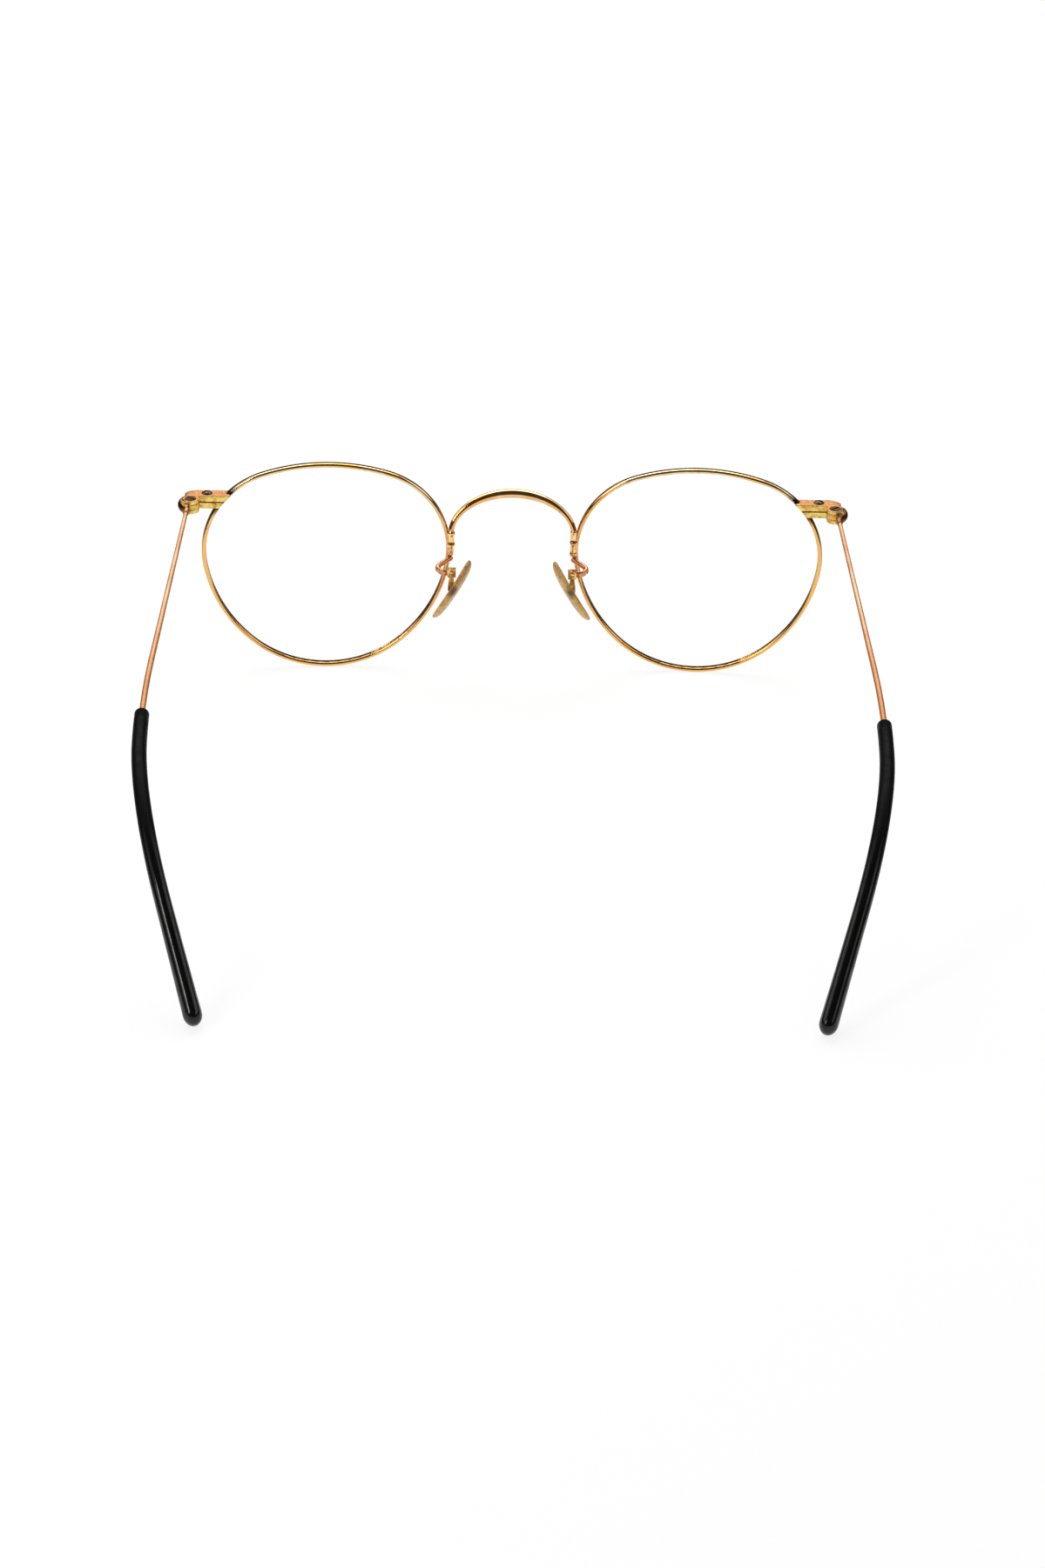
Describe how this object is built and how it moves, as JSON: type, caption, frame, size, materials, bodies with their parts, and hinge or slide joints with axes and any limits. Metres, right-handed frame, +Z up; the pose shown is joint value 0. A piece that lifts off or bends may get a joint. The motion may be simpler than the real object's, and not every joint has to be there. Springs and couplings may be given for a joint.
{
  "type": "eyeglasses",
  "caption": "Panto eyeglasses with a wire frame: grooved rims, screwed end pieces, saddle bridge, rocking nose pads and folding temples with ear sleeves.",
  "frame": {"origin": "on the table, below the middle of the opened frame's box", "axes": "+Z up, front of the lenses to -Y, temples run to +Y, +X is the wearer's left"},
  "size_m": [0.1226, 0.1334, 0.0399],
  "materials": {
    "rim_metal": "polished gold plate, worn",
    "end_piece_metal": "polished gold plate, worn to rose on top",
    "temple_metal": "satin rose gold, worn",
    "screw_metal": "dark bronzed, worn",
    "lens_clear": "clear, coated against reflections",
    "sleeve_black": "glossy black acetate",
    "pad_tan": "clear plastic yellowed with age"
  },
  "bodies": {
    "front": {"left_eyewire": "rim_metal", "right_eyewire": "rim_metal", "left_lens": "lens_clear", "right_lens": "lens_clear", "bridge": "rim_metal", "left_end_piece_upper": "end_piece_metal", "right_end_piece_upper": "end_piece_metal", "left_end_piece_lower": "end_piece_metal", "right_end_piece_lower": "end_piece_metal", "left_closing_screw": "screw_metal", "right_closing_screw": "screw_metal", "left_hinge_screw": "screw_metal", "right_hinge_screw": "screw_metal", "left_pad_arm": "rim_metal", "right_pad_arm": "rim_metal", "left_pad_box": "end_piece_metal", "right_pad_box": "end_piece_metal", "left_pad_screw": "screw_metal", "right_pad_screw": "screw_metal"},
    "left_temple": {"left_temple_hinge": "end_piece_metal", "left_temple_wire": "temple_metal", "left_temple_sleeve": "sleeve_black"},
    "right_temple": {"right_temple_hinge": "end_piece_metal", "right_temple_wire": "temple_metal", "right_temple_sleeve": "sleeve_black"},
    "left_pad": {"left_pad_mount": "end_piece_metal", "left_nose_pad": "pad_tan"},
    "right_pad": {"right_pad_mount": "end_piece_metal", "right_nose_pad": "pad_tan"}
  },
  "joints": [
    {"name": "left_temple_fold", "type": "hinge", "parent": "front", "child": "left_temple", "pos_m": [0.05735, -0.06016, 0.033], "axis": [0, 0, 1], "range_deg": [0, 88]},
    {"name": "right_temple_fold", "type": "hinge", "parent": "front", "child": "right_temple", "pos_m": [-0.05735, -0.06016, 0.033], "axis": [0, 0, -1], "range_deg": [0, 80]},
    {"name": "left_pad_rock", "type": "hinge", "parent": "front", "child": "left_pad", "pos_m": [0.01082, -0.05997, 0.02068], "axis": [0, 1, 0], "range_deg": [-8, 8]},
    {"name": "right_pad_rock", "type": "hinge", "parent": "front", "child": "right_pad", "pos_m": [-0.01082, -0.05997, 0.02068], "axis": [0, 1, 0], "range_deg": [-8, 8]}
  ]
}
